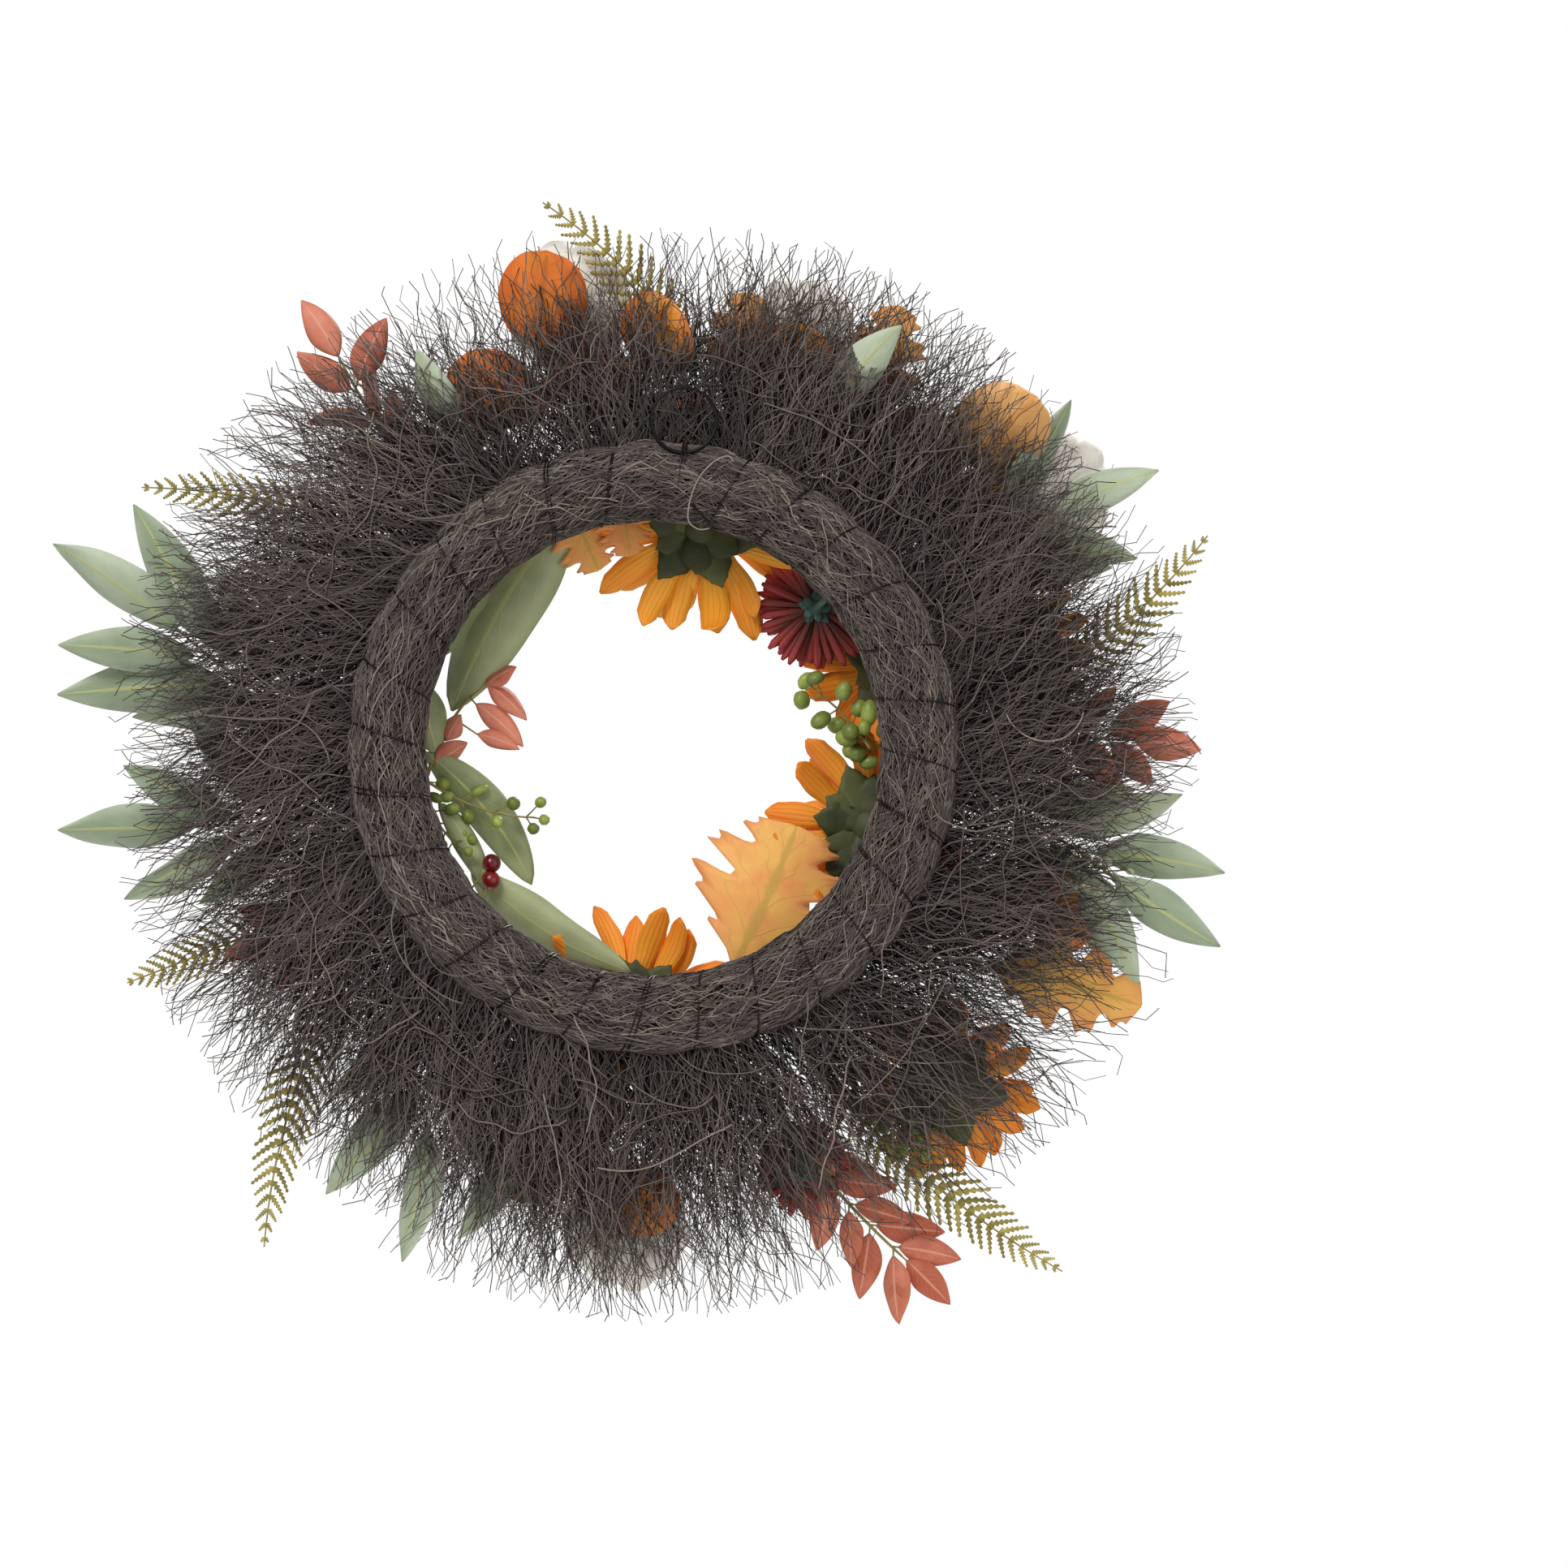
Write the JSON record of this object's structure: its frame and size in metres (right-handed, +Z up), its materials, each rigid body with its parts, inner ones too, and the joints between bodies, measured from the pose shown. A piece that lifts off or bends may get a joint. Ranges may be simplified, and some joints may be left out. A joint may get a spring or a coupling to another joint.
{
  "type": "harvest door wreath",
  "caption": "Round door wreath of bound twigs with artificial sunflowers, mums, foam pumpkins and autumn leaves on the front and a hinged wire hanging ring at the back.",
  "frame": {"origin": "the point inside the top of the hanging ring where a door hook bears", "axes": "+Z up, +Y towards the door at the wreath's back, front towards -Y, +X to the left as seen from the back"},
  "size_m": [0.6555, 0.1257, 0.6154],
  "materials": {
    "twig": "rough bark on thin dried twigs",
    "wire": "dark annealed wire, satin",
    "sunflower_petal": "matte printed fabric",
    "seed_head": "short flocked pile",
    "calyx": "moulded, matte",
    "mum_petal": "matte fabric",
    "pumpkin": "painted foam, matte off-white, lightly mottled",
    "pumpkin_stem": "dry stem brown, matte",
    "oak_leaf": "printed fabric leaf, matte",
    "round_leaf": "thin translucent fabric",
    "magnolia_leaf": "waxed fabric leaf",
    "sage_leaf": "matte fabric leaf with veins",
    "rust_leaf": "matte fabric leaf",
    "fern": "moulded fern, matte",
    "berry": "moulded berries, satin"
  },
  "bodies": {
    "wreath": {"wire_hoop": "wire", "binding_wire": "wire", "hanger_tie_wire": "wire", "twig_bunch_01": "twig", "twig_bunch_02": "twig", "twig_bunch_03": "twig", "twig_bunch_04": "twig", "twig_bunch_05": "twig", "twig_bunch_06": "twig", "twig_bunch_07": "twig", "twig_bunch_08": "twig", "twig_bunch_09": "twig", "twig_bunch_10": "twig", "twig_bunch_11": "twig", "twig_bunch_12": "twig", "twig_bunch_13": "twig", "twig_bunch_14": "twig", "sunflower_calyx_1": "calyx", "sunflower_petals_1": "sunflower_petal", "sunflower_seed_head_1": "seed_head", "sunflower_calyx_2": "calyx", "sunflower_petals_2": "sunflower_petal", "sunflower_seed_head_2": "seed_head", "sunflower_calyx_3": "calyx", "sunflower_petals_3": "sunflower_petal", "sunflower_seed_head_3": "seed_head", "sunflower_calyx_4": "calyx", "sunflower_petals_4": "sunflower_petal", "sunflower_seed_head_4": "seed_head", "sunflower_calyx_5": "calyx", "sunflower_petals_5": "sunflower_petal", "sunflower_seed_head_5": "seed_head", "sunflower_calyx_6": "calyx", "sunflower_petals_6": "sunflower_petal", "sunflower_seed_head_6": "seed_head", "mum_1": "mum_petal", "mum_2": "mum_petal", "pumpkin_1": "pumpkin", "pumpkin_stem_1": "pumpkin_stem", "pumpkin_2": "pumpkin", "pumpkin_stem_2": "pumpkin_stem", "pumpkin_3": "pumpkin", "pumpkin_stem_3": "pumpkin_stem", "pumpkin_4": "pumpkin", "pumpkin_stem_4": "pumpkin_stem", "magnolia_sprig": "magnolia_leaf", "berry_sprig": "berry", "sage_sprig_1": "sage_leaf", "oak_leaf_1": "oak_leaf", "sage_sprig_2": "sage_leaf", "oak_leaf_2": "oak_leaf", "sage_sprig_3": "sage_leaf", "oak_leaf_3": "oak_leaf", "fern_frond_1": "fern", "rust_sprig_1": "rust_leaf", "round_leaf_sprig_1": "round_leaf", "fern_frond_2": "fern", "rust_sprig_2": "rust_leaf", "round_leaf_sprig_2": "round_leaf"},
    "hanger": {"hanger_ring": "wire"}
  },
  "joints": [
    {"name": "hanger_fold", "type": "hinge", "parent": "wreath", "child": "hanger", "pos_m": [0, 0, -0.0357], "axis": [-1, 0, 0], "range_deg": [-8, 105]}
  ]
}
